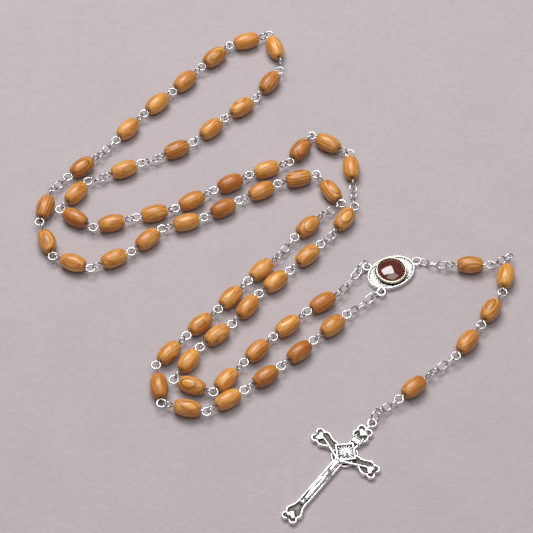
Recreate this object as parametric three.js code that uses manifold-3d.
// A five-decade rosary lying flat on a table: olive-wood barrel beads on wire eye pins,
// short runs of chain between the decades, an oval centre medal and a cast crucifix.
// Millimetres, +Z up. The origin is the middle of the medal's back, on the table.
import * as THREE from 'three';
import { mergeVertices } from 'three/addons/utils/BufferGeometryUtils.js';
import Module from 'manifold-3d';

const wasm = await Module();
wasm.setup();

// Beads and their eye pins
const BEAD_LENGTH = 8.9;
const BEAD_RADIUS = 3.0;
const BEAD_END_RADIUS = 1.95;
const BEAD_SIDES = 8;
const BORE_RADIUS = 0.8;
const PIN_RADIUS = 0.35;
const EYE_RADIUS = 1.4; // middle of the wire
const EYE_REACH = 6.3; // bead centre to eye centre
const LOOSE_EYE_REACH = 6.7; // the same on a pendant pin, whose bead turns freely
const AXIS_HEIGHT = 3.0; // bead axis over the table

// How far the centres of two linked loops lie apart
const FIXED_LINK = 2.25; // the wires touch, inside a pair
const CHAIN_LINK = 1.5; // a chain link in an eye or in a cast loop

// Chain links and jump rings
const LINK_RADIUS = 1.15;
const LINK_WIRE = 0.3;
const LINK_GRIP = 1.85; // between the round ends of two joined links
const LINKS_PER_CHAIN = 3;
const CHAIN_SAG = 0.5;
const RING_RADIUS = 2.3;
const RING_WIRE = 0.4;
const RING_SPAN = 4.15; // between the two loops that a jump ring holds
const RING_LEAN = 12; // degrees away from upright
const RING_LEAN_HEIGHT = 2.0;
const RING_CENTRE = [1.95, 0, 2.72];

// Centre medal: an oval frame, a round bezel cup and a domed stone
const MEDAL_TURN = 28; // degrees from +X to the pendant loop
const MEDAL_HALF_LENGTH = 8.4;
const MEDAL_HALF_WIDTH = 6.0;
const MEDAL_THICKNESS = 2.0;
const MEDAL_RIM = 0.5;
const LOOP_RADIUS = 1.35; // middle of the cast wire
const LOOP_WIRE = 0.4;
const LOOP_HEIGHT = 1.4;
const MEDAL_CHAIN_HEIGHT = 1.65; // where the pendant's chain leaves the medal
const LOOP_ANGLES = { pendant: 0, first: 136, last: -142 };
const CUP_RADIUS = 5.1;
const CUP_WALL = 0.55;
const CUP_HEIGHT = 3.2;
const CUP_FLOOR = 1.2;
const FIT_GAP = 0.3;

// Crucifix, measured from the middle of its bail along the shaft
const CROSS_THICKNESS = 1.9;
const SHAFT_WIDTH = 3.3;
const CROSSING = 14.1;
const HEAD_HEART = 4.9;
const FOOT_HEART = 42.0;
const ARM_HEART = 9.8;
const PLAQUE_SIDE = 6.0;

// How far the pieces swing, in degrees
const BEAD_LIFT = 35;
const CHAIN_LIFT = 25;
const RING_LIFT = 12;
const SIDE_SWING = 30;
const PENDANT_SWING_BACK = [10, 12, 18, SIDE_SWING]; // short of the beads beside it

const deg = THREE.MathUtils.degToRad;

// ---- Joining and cutting ----

function toSolid(geometry) {
  const bare = geometry.clone();
  bare.deleteAttribute('normal');
  bare.deleteAttribute('uv');
  const merged = mergeVertices(bare, 1e-5);
  return new wasm.Manifold(new wasm.Mesh({
    numProp: 3,
    vertProperties: new Float32Array(merged.attributes.position.array),
    triVerts: new Uint32Array(merged.index.array),
  }));
}

function toGeometry(solid) {
  const { vertProperties, triVerts } = solid.getMesh();
  const geometry = new THREE.BufferGeometry();
  geometry.setAttribute('position', new THREE.BufferAttribute(new Float32Array(vertProperties), 3));
  geometry.setIndex(new THREE.BufferAttribute(new Uint32Array(triVerts), 1));
  return geometry;
}

function join(geometries, holes = []) {
  let solid = toSolid(geometries[0]);
  for (const geometry of geometries.slice(1)) solid = solid.add(toSolid(geometry));
  for (const hole of holes) solid = solid.subtract(toSolid(hole));
  return toGeometry(solid);
}

const materials = {
  olive_wood: { color: 0xc07a2c, roughness: 0.45, metalness: 0 },
  steel_wire: { color: 0xd8d8d8, roughness: 0.25, metalness: 1 },
  cast_silver: { color: 0xc9c9c6, roughness: 0.3, metalness: 1 },
  gilt_rim: { color: 0xd9c08a, roughness: 0.25, metalness: 1 },
  red_enamel: { color: 0x6e2318, roughness: 0.08, metalness: 0 },
};

function addPiece(group, name, geometry, finish) {
  const flat = geometry.index ? geometry.toNonIndexed() : geometry;
  flat.computeVertexNormals();
  const mesh = new THREE.Mesh(flat, new THREE.MeshStandardMaterial(materials[finish]));
  mesh.name = name;
  mesh.userData.finish = finish;
  group.add(mesh);
  return mesh;
}

// ---- Shapes that repeat ----

// A wire ring in the XY plane, drawn out along X by `stretch`.
function wireRing(radius, wire, stretch, segments, sides = 4) {
  const corner = Math.PI / segments;
  const ring = new THREE.TorusGeometry(radius / Math.cos(corner), wire, sides, segments);
  ring.rotateZ(corner);
  const place = ring.attributes.position;
  for (let i = 0; i < place.count; i += 1) {
    place.setX(i, place.getX(i) + Math.sign(place.getX(i)) * stretch / 2);
  }
  return ring;
}

function disc(radius, bottom, top, x, y, segments) {
  const body = new THREE.CylinderGeometry(radius, radius, top - bottom, segments);
  return body.rotateX(Math.PI / 2).translate(x, y, (bottom + top) / 2);
}

function block(length, width, bottom, top, x, y, turn = 0) {
  const body = new THREE.BoxGeometry(length, width, top - bottom);
  return body.rotateZ(deg(turn)).translate(x, y, (bottom + top) / 2);
}

// A flat plate with the outline given as [x, y] corners.
function plate(corners, bottom, top) {
  const outline = new THREE.Shape(corners.map(([x, y]) => new THREE.Vector2(x, y)));
  const body = new THREE.ExtrudeGeometry(outline, { depth: top - bottom, bevelEnabled: false });
  return body.translate(0, 0, bottom);
}

// A barrel bead along X, solid or with a bore through it.
function barrel(bore) {
  const half = BEAD_LENGTH / 2;
  const profile = [
    [bore, -half], [BEAD_END_RADIUS, -half], [BEAD_RADIUS, -half * 0.4],
    [BEAD_RADIUS, half * 0.4], [BEAD_END_RADIUS, half], [bore, half],
  ];
  if (bore > 0) profile.push([bore, -half]);
  const points = profile.map(([r, h]) => new THREE.Vector2(r, h));
  return new THREE.LatheGeometry(points, BEAD_SIDES).rotateZ(-Math.PI / 2);
}

// The eye at one end of a pin: `side` is -1 or 1, `upright` turns its plane on edge.
function eye(side, reach, upright) {
  const ring = wireRing(EYE_RADIUS, PIN_RADIUS, 0, 8);
  if (upright) ring.rotateX(Math.PI / 2);
  return ring.translate(side * reach, 0, 0);
}

function rod(length, radius, x) {
  return new THREE.CylinderGeometry(radius, radius, length, 6).rotateZ(Math.PI / 2).translate(x, 0, 0);
}

// A straight wire with an upright eye behind and a flat eye in front.
const eyePin = (reach) => [
  rod((reach - EYE_RADIUS) * 2, PIN_RADIUS, 0), eye(-1, reach, true), eye(1, reach, false)];

const beadOnPin = join([barrel(0), ...eyePin(EYE_REACH)]);
const loosePin = join(eyePin(LOOSE_EYE_REACH));
const looseBead = barrel(BORE_RADIUS);

// ---- The route ----

// The points [x, y] on the table that the linked loops are aimed at, in order round the
// rosary. `link` is how far apart the two free loops lie: a drawn-out run or a slack one.
const DRAWN = 1.85;
const EASY = 1.4;
const SLACK = 1.05;
const ROUTE = [
  { name: 'decade_1', beads: 10, link: SLACK, points: [
    [-16.5, -8.5], [-29.5, -17.5], [-40.5, -27.5], [-50.5, -38], [-59, -48], [-70.5, -43],
    [-64.5, -32.5], [-55, -23.5], [-46, -12.5], [-36, -2.5], [-26, 7.5]] },
  { name: 'our_father_1', beads: 1, link: EASY, points: [[-19.5, 14], [-10.5, 27.5]] },
  { name: 'decade_2', beads: 10, link: SLACK, points: [
    [-12, 34], [-13, 49], [-23, 54], [-33, 45], [-47, 39], [-60, 32], [-72, 25], [-86, 21],
    [-100, 17], [-109.5, 23.5], [-103, 35]] },
  { name: 'our_father_2', beads: 1, link: EASY, points: [[-97, 38], [-84, 44]] },
  { name: 'decade_3', beads: 4, link: EASY, points: [
    [-79, 46], [-66, 53], [-56, 63], [-45, 72], [-37, 84]] },
  { name: 'decade_3', firstBead: 5, beads: 6, link: SLACK, points: [
    [-36, 87], [-40, 99], [-53, 96], [-63, 87], [-73, 76], [-83, 66], [-92, 55]] },
  { name: 'our_father_3', beads: 1, link: EASY, points: [[-98.5, 47.5], [-109.5, 37.5]] },
  { name: 'decade_4', beads: 10, link: SLACK, points: [
    [-114, 33], [-118, 18], [-112, 4], [-98, 0], [-87, 7], [-76, 17], [-63, 21], [-51, 28],
    [-38, 35], [-25, 39], [-17.5, 29]] },
  { name: 'our_father_4', beads: 1, link: EASY, points: [[-22, 23], [-33, 12]] },
  { name: 'decade_5', beads: 10, link: DRAWN, points: [
    [-37.5, 5.5], [-48, -5], [-58, -16.5], [-69, -27.5], [-79.5, -40], [-74.5, -55],
    [-59, -55], [-46, -45], [-34, -35.5], [-22.5, -24.5], [-11, -14]] },
];
const PENDANT_ROUTE = [
  { beads: 1, points: [[18, 2], [34, 2]] },
  { beads: 3, points: [[39.5, 5.5], [36, -11], [28, -23], [19, -35]] },
  { beads: 1, points: [[12, -40], [1, -50]] },
];
const CROSS_RING_START = [-5.5, -54.5];
const CRUCIFIX_BAIL = [-7.7, -57.9];
const CRUCIFIX_TURN = -128; // degrees from +X to the foot
const FIRST_RING_TURN = 223;
const LAST_RING_TURN = 222;

const flatPoint = ([x, y]) => new THREE.Vector3(x, y, 0);

// Lays pieces of the given lengths end to end, each one aimed at the next point.
function lay(points, lengths) {
  const vertices = [flatPoint(points[0])];
  lengths.forEach((length, i) => {
    const from = vertices[i];
    vertices.push(flatPoint(points[i + 1]).sub(from).setLength(length).add(from));
  });
  return vertices;
}

// The free linkage that a bead of a section hangs by: the first one hangs from a chain.
const linkBefore = (bead, link) => (bead === 0 ? CHAIN_LINK : link);

// ---- Bodies ----

const rosary = new THREE.Group();
rosary.name = 'rosary';

// A moving group. Its X axis runs along the piece from `from` to `to`, and `joint` says how
// the piece swings from the body that holds it: the pivot and the axis are in its own frame.
function addBody(name, from, to, height, joint) {
  const body = new THREE.Group();
  body.name = name;
  body.position.set(from.x, from.y, height);
  body.rotation.z = Math.atan2(to.y - from.y, to.x - from.x);
  body.userData.joint = joint;
  rosary.add(body);
  return body;
}

const UP_AND_DOWN = [0, 1, 0];
const SIDEWAYS = [0, 0, 1];

// Every second hinge has its axis the other way round.
let hingeCount = 0;
function lift(parent, pivot, range) {
  hingeCount += 1;
  const axis = hingeCount % 2 === 0 ? UP_AND_DOWN : UP_AND_DOWN.map((part) => -part);
  return { parent, pivot, axis, range: [-range, range] };
}

// Three links, each on edge to the next, along a line that sags.
function chainLinks(length, start, rolls, rise = [0, 0]) {
  const from = new THREE.Vector3(start - LINK_GRIP / 2, 0, rise[0]);
  const to = new THREE.Vector3(length + LINK_GRIP / 2, 0, rise[1]);
  const ends = [0, 1, 2, 3].map((i) => from.clone().lerp(to, i / LINKS_PER_CHAIN));
  for (const i of [1, 2]) ends[i].z -= CHAIN_SAG;
  return rolls.map((roll, i) => {
    const along = ends[i + 1].clone().sub(ends[i]);
    const link = wireRing(LINK_RADIUS, LINK_WIRE, along.length() - LINK_GRIP, 8);
    link.rotateX(deg(roll)).rotateY(-Math.asin(along.z / along.length()));
    link.rotateZ(Math.atan2(along.y, along.x));
    const middle = ends[i].clone().add(ends[i + 1]).multiplyScalar(0.5);
    return link.translate(middle.x, middle.y, middle.z);
  });
}

// From a flat loop to an upright one, and between two upright ones.
const FLAT_TO_UPRIGHT = [67.5, 135, 202.5];
const FLAT_TO_UPRIGHT_BACK = FLAT_TO_UPRIGHT.map((roll) => -roll);
const UPRIGHT_TO_UPRIGHT = [0, 90, 0];

// A six-sided jump ring that stands on one of its sides and leans over a little.
function jumpRing() {
  const ring = wireRing(RING_RADIUS, RING_WIRE, 0, 6, 6).rotateZ(Math.PI / 6);
  ring.rotateX(Math.PI / 2).translate(...RING_CENTRE).translate(0, 0, -RING_LEAN_HEIGHT);
  return ring.rotateX(deg(RING_LEAN)).translate(0, 0, RING_LEAN_HEIGHT);
}

// ---- Centre medal ----

function oval(halfLength, halfWidth, bottom, top) {
  return disc(1, bottom, top, 0, 0, 24).scale(halfLength, halfWidth, 1);
}

// The middle of a loop that stands out from the medal's edge at the given angle.
function medalLoop(angle) {
  const turn = deg(angle);
  const edge = 1 / Math.hypot(
    Math.cos(turn) / MEDAL_HALF_LENGTH, Math.sin(turn) / MEDAL_HALF_WIDTH);
  const reach = edge + LOOP_RADIUS;
  return new THREE.Vector3(Math.cos(turn) * reach, Math.sin(turn) * reach, 0);
}

function castLoop(x, y, height, turn = 0) {
  return wireRing(LOOP_RADIUS, LOOP_WIRE, 0, 8, 6).rotateZ(turn).translate(x, y, height);
}

const PLATE_TOP = 1.4;
const POCKET_FLOOR = CUP_FLOOR - FIT_GAP;

function medalFrame() {
  const rim = join(
    [oval(MEDAL_HALF_LENGTH, MEDAL_HALF_WIDTH, 0, MEDAL_THICKNESS)],
    [oval(MEDAL_HALF_LENGTH - MEDAL_RIM, MEDAL_HALF_WIDTH - MEDAL_RIM, PLATE_TOP, 4)]);
  const loops = Object.values(LOOP_ANGLES).map((angle) => {
    const place = medalLoop(angle);
    return castLoop(place.x, place.y, LOOP_HEIGHT, deg(angle));
  });
  return join([rim, ...loops], [disc(CUP_RADIUS + FIT_GAP, POCKET_FLOOR, 4, 0, 0, 24)]);
}

function turned(profile, segments) {
  const points = profile.map(([r, h]) => new THREE.Vector2(r, h));
  return new THREE.LatheGeometry(points, segments).rotateX(Math.PI / 2);
}

const CUP_INSIDE = CUP_RADIUS - CUP_WALL;
const CUP_BASE_TOP = CUP_FLOOR + 0.5;
const STONE_RADIUS = CUP_INSIDE - FIT_GAP;
const STONE_BASE = CUP_BASE_TOP + FIT_GAP;
const STONE_EDGE = 2.7;
const STONE_TOP = 3.9;

const bezelCup = () => turned([
  [0, CUP_FLOOR], [CUP_RADIUS, CUP_FLOOR], [CUP_RADIUS, CUP_HEIGHT - 0.2],
  [CUP_RADIUS - 0.2, CUP_HEIGHT], [CUP_INSIDE, CUP_HEIGHT - 0.1],
  [CUP_INSIDE, CUP_BASE_TOP], [0, CUP_BASE_TOP],
], 24);

function domedStone() {
  const dome = [0, 1, 2, 3].map((i) => {
    const turn = (i / 4) * Math.PI / 2;
    return [STONE_RADIUS * Math.cos(turn), STONE_EDGE + (STONE_TOP - STONE_EDGE) * Math.sin(turn)];
  });
  return turned([[0, STONE_BASE], [STONE_RADIUS, STONE_BASE], ...dome, [0, STONE_TOP]], 20);
}

const medal = new THREE.Group();
medal.name = 'centre_medal';
medal.rotation.z = deg(MEDAL_TURN);
medal.userData.joint = null;
rosary.add(medal);
addPiece(medal, 'medal_frame', medalFrame(), 'cast_silver');
addPiece(medal, 'medal_bezel_cup', bezelCup(), 'gilt_rim');
addPiece(medal, 'medal_stone', domedStone(), 'red_enamel');

const loopPlace = (name) => {
  const turn = new THREE.Vector3(0, 0, 1);
  return medalLoop(LOOP_ANGLES[name]).applyAxisAngle(turn, deg(MEDAL_TURN));
};
const firstLoop = loopPlace('first');
const lastLoop = loopPlace('last');
const pendantLoop = loopPlace('pendant');

// ---- Crucifix ----

const END_LOBE = 1.45;
const END_HALF_WIDTH = 3.0;

// A trefoil end with a raised heart, its heart at (x, y), pointing along `turn` degrees.
function trefoilEnd(x, y, turn) {
  const half = SHAFT_WIDTH / 2;
  const flare = [[-5.5, -half], [-1.6, -END_HALF_WIDTH], [1.4, -1.6], [1.4, 1.6],
    [-1.6, END_HALF_WIDTH], [-5.5, half]];
  const pieces = [
    plate(flare, 0, CROSS_THICKNESS),
    disc(1.1, 0, CROSS_THICKNESS, -1.1, END_HALF_WIDTH - 0.6, 8),
    disc(1.1, 0, CROSS_THICKNESS, -1.1, 0.6 - END_HALF_WIDTH, 8),
    disc(END_LOBE, 0, CROSS_THICKNESS, 1.2, 1.3, 8),
    disc(END_LOBE, 0, CROSS_THICKNESS, 1.2, -1.3, 8),
    disc(1.3, 0, CROSS_THICKNESS + 0.6, 0, 0, 8),
  ];
  return pieces.map((piece) => piece.rotateZ(deg(turn)).translate(x, y, 0));
}

function crucifix() {
  const top = CROSS_THICKNESS;
  const shaftStart = 2.6;
  const shaft = block(FOOT_HEART - shaftStart, SHAFT_WIDTH, 0, top, (FOOT_HEART + shaftStart) / 2, 0);
  const arms = block(SHAFT_WIDTH, ARM_HEART * 2, 0, top, CROSSING, 0);
  const nimbus = disc(4.4, 0, top - 0.7, CROSSING + 0.5, 0, 16);
  const plaque = block(PLAQUE_SIDE, PLAQUE_SIDE, 0, top + 0.8, CROSSING, 0, 45);
  const title = block(2.2, 3.9, 0, top + 0.5, HEAD_HEART + 3.4, 0);
  const figure = [
    plate([[16.6, -1.5], [23.5, -0.8], [23.5, 0.8], [16.6, 1.5]], top - 0.2, top + 0.9),
    plate([[23.4, -1.0], [35.4, -0.5], [35.4, 0.5], [23.4, 1.0]], top - 0.2, top + 0.7),
    block(3.0, 1.6, top - 0.2, top + 1.4, CROSSING + 0.5, 0),
    plate([[16.6, 1.2], [17.9, 1.2], [15.0, 7.8], [14.0, 7.8]], top - 0.2, top + 0.5),
    plate([[14.0, -7.8], [15.0, -7.8], [17.9, -1.2], [16.6, -1.2]], top - 0.2, top + 0.5),
  ];
  const foot = disc(1.1, 0, top + 0.6, FOOT_HEART - 5.6, 0, 8);
  const bail = [castLoop(0, 0, LOOP_HEIGHT), block(2.2, 1.6, 0.3, top - 0.1, 2.2, 0)];
  return join([
    shaft, arms, nimbus, plaque, title, foot, ...figure, ...bail,
    ...trefoilEnd(HEAD_HEART, 0, 180), ...trefoilEnd(FOOT_HEART, 0, 0),
    ...trefoilEnd(CROSSING, ARM_HEART, 90), ...trefoilEnd(CROSSING, -ARM_HEART, -90),
  ]);
}

// ---- The loop of beads ----

const turnedBy = (length, turn) => new THREE.Vector3(length, 0, 0)
  .applyAxisAngle(new THREE.Vector3(0, 0, 1), deg(turn));

// Two beads whose middle eyes are joined, or one bead, from the first vertex on.
function beadRun(vertices, links) {
  const runTurn = Math.atan2(vertices[1].y - vertices[0].y, vertices[1].x - vertices[0].x);
  const pieces = links.map((link, i) => {
    const from = vertices[i].clone().sub(vertices[0]);
    const turn = Math.atan2(vertices[i + 1].y - vertices[i].y, vertices[i + 1].x - vertices[i].x);
    from.applyAxisAngle(new THREE.Vector3(0, 0, 1), -runTurn);
    const bead = beadOnPin.clone().translate(link + EYE_REACH, 0, 0);
    return bead.rotateZ(turn - runTurn).translate(from.x, from.y, 0);
  });
  return join(pieces);
}

// Everything in the loop, in order: its name, its end vertices, and what makes its solid.
const strand = [];
const ringEnd = firstLoop.clone().add(turnedBy(RING_SPAN, FIRST_RING_TURN));
strand.push({ name: 'jump_ring_first', from: firstLoop, to: ringEnd, ring: true });
let reached = ringEnd;
let reachedName = 'medal';
for (const section of ROUTE) {
  const first = section.firstBead ?? 1;
  const links = [...Array(section.beads).keys()].map((bead) => (
    bead % 2 === 1 ? FIXED_LINK : linkBefore(bead, section.link)));
  const vertices = lay(section.points, links.map((link) => link + 2 * EYE_REACH));
  if (first === 1) {
    strand.push({
      name: `chain_${reachedName}_to_${section.name}`,
      from: reached,
      to: vertices[0],
      chain: reachedName === 'medal' ? UPRIGHT_TO_UPRIGHT : FLAT_TO_UPRIGHT,
    });
  }
  for (let bead = 0; bead < section.beads; bead += 2) {
    const count = Math.min(2, section.beads - bead);
    strand.push({
      name: count === 1 ? `${section.name}_bead`
        : `${section.name}_beads_${first + bead}_${first + bead + 1}`,
      from: vertices[bead],
      to: vertices[bead + count],
      aim: vertices[bead + 1],
      vertices: vertices.slice(bead, bead + count + 1),
      links: links.slice(bead, bead + count),
    });
  }
  reached = vertices[section.beads];
  reachedName = section.name;
}
const lastRingStart = lastLoop.clone().add(turnedBy(RING_SPAN, LAST_RING_TURN));
strand.push({
  name: 'chain_decade_5_to_medal', from: reached, to: lastRingStart, chain: FLAT_TO_UPRIGHT,
});
strand.push({ name: 'jump_ring_last', from: lastRingStart, to: lastLoop, ring: true });

// The strand is a ring of pieces. It is open between the fourth and fifth beads of the third
// decade, where the two eyes lie end to end: the pieces before hang from the medal's first
// loop one after another, and the pieces after hang from its last loop.
const openAt = strand.findIndex((piece) => piece.name === 'decade_3_beads_5_6');

function addStrandPiece(piece, joint) {
  const aim = piece.aim ?? piece.to;
  const length = piece.from.distanceTo(piece.to);
  const height = piece.ring ? 0 : AXIS_HEIGHT;
  const body = addBody(piece.name, piece.from, aim, height, joint);
  if (piece.ring) {
    addPiece(body, piece.name, jumpRing(), 'steel_wire');
  } else if (piece.chain) {
    const start = piece.chain === UPRIGHT_TO_UPRIGHT ? 0 : CHAIN_LINK;
    addPiece(body, piece.name, join(chainLinks(length, start, piece.chain)), 'steel_wire');
  } else {
    addPiece(body, piece.name, beadRun(piece.vertices, piece.links), 'olive_wood');
  }
}

// The linkage before a piece: half-way between the centres of the two linked loops, in the
// piece's own frame.
function frontPivot(piece) {
  if (piece.ring) return [0, 0, LOOP_HEIGHT];
  if (piece.links) return [piece.links[0] / 2, 0, 0];
  return [piece.chain === UPRIGHT_TO_UPRIGHT ? 0 : CHAIN_LINK / 2, 0, 0];
}

// The linkage after a piece, in its own frame.
function backPivot(piece, next) {
  const aim = piece.aim ?? piece.to;
  const along = aim.clone().sub(piece.from).normalize();
  const onward = next ? next.to.clone().sub(next.from).normalize() : along.clone();
  if (next?.aim) onward.copy(next.aim).sub(next.from).normalize();
  const reach = next?.links ? next.links[0] / 2 : next?.chain ? CHAIN_LINK / 2 : 0;
  const place = piece.to.clone().add(onward.multiplyScalar(reach)).sub(piece.from);
  const turn = Math.atan2(along.y, along.x);
  place.applyAxisAngle(new THREE.Vector3(0, 0, 1), -turn);
  return [place.x, place.y, piece.ring ? LOOP_HEIGHT : 0];
}

const liftRange = (piece) => {
  if (piece.ring) return RING_LIFT;
  return piece.links ? BEAD_LIFT : CHAIN_LIFT;
};
strand.forEach((piece, i) => {
  const range = liftRange(piece);
  if (i < openAt) {
    const parent = i === 0 ? 'centre_medal' : strand[i - 1].name;
    addStrandPiece(piece, lift(parent, frontPivot(piece), range));
  }
});
[...strand.keys()].reverse().filter((i) => i >= openAt).forEach((i) => {
  const piece = strand[i];
  const next = strand[i + 1];
  const range = liftRange(piece);
  const parent = next ? next.name : 'centre_medal';
  addStrandPiece(piece, lift(parent, backPivot(piece, next), range));
});

// ---- The pendant ----

// A chain of the pendant: heights are those of the loops at its two ends over the table.
function addPendantChain(index, parent, from, to, heights, rolls = FLAT_TO_UPRIGHT) {
  const name = `pendant_chain_${index + 1}`;
  const body = addBody(name, from, to, AXIS_HEIGHT,
    { parent, pivot: [CHAIN_LINK / 2, 0, heights[0] - AXIS_HEIGHT], axis: SIDEWAYS,
      range: [-PENDANT_SWING_BACK[index], SIDE_SWING] });
  const rise = heights.map((height) => height - AXIS_HEIGHT);
  const links = chainLinks(from.distanceTo(to), CHAIN_LINK, rolls, rise);
  addPiece(body, name, join(links), 'steel_wire');
  return name;
}

let pendantEnd = pendantLoop;
let pendantParent = 'centre_medal';
let pendantBead = 0;
PENDANT_ROUTE.forEach((section, i) => {
  const links = [...Array(section.beads).keys()].map((bead) => linkBefore(bead, EASY));
  const vertices = lay(section.points, links.map((link) => link + 2 * LOOSE_EYE_REACH));
  const startHeight = i === 0 ? MEDAL_CHAIN_HEIGHT : AXIS_HEIGHT;
  pendantParent = addPendantChain(i, pendantParent, pendantEnd, vertices[0],
    [startHeight, AXIS_HEIGHT], i === 1 ? FLAT_TO_UPRIGHT_BACK : FLAT_TO_UPRIGHT);
  links.forEach((link, bead) => {
    pendantBead += 1;
    const pinName = `pendant_pin_${pendantBead}`;
    const from = vertices[bead];
    const to = vertices[bead + 1];
    const pin = addBody(pinName, from, to, AXIS_HEIGHT,
      lift(pendantParent, [link / 2, 0, 0], BEAD_LIFT));
    const middle = link + LOOSE_EYE_REACH;
    addPiece(pin, pinName, loosePin.clone().translate(middle, 0, 0), 'steel_wire');
    const beadName = `pendant_bead_${pendantBead}`;
    const spin = { parent: pinName, pivot: [middle, 0, 0], axis: [1, 0, 0], range: null };
    const turning = addBody(beadName, from, to, AXIS_HEIGHT, spin);
    addPiece(turning, beadName, looseBead.clone().translate(middle, 0, 0), 'olive_wood');
    pendantParent = pinName;
  });
  pendantEnd = vertices[section.beads];
});
const crossRingStart = flatPoint(CROSS_RING_START);
const bail = flatPoint(CRUCIFIX_BAIL);
const lastChain = addPendantChain(3, pendantParent, pendantEnd, crossRingStart,
  [AXIS_HEIGHT, AXIS_HEIGHT]);
const crossRing = addBody('jump_ring_crucifix', crossRingStart, bail, 0,
  lift(lastChain, [0, 0, AXIS_HEIGHT], RING_LIFT));
addPiece(crossRing, 'jump_ring_crucifix', jumpRing(), 'steel_wire');
const cross = addBody('crucifix', bail, bail.clone().add(turnedBy(1, CRUCIFIX_TURN)), 0,
  { parent: 'jump_ring_crucifix', pivot: [0, 0, LOOP_HEIGHT], axis: SIDEWAYS,
    range: [-SIDE_SWING, SIDE_SWING] });
addPiece(cross, 'crucifix', crucifix(), 'cast_silver');

export default rosary;
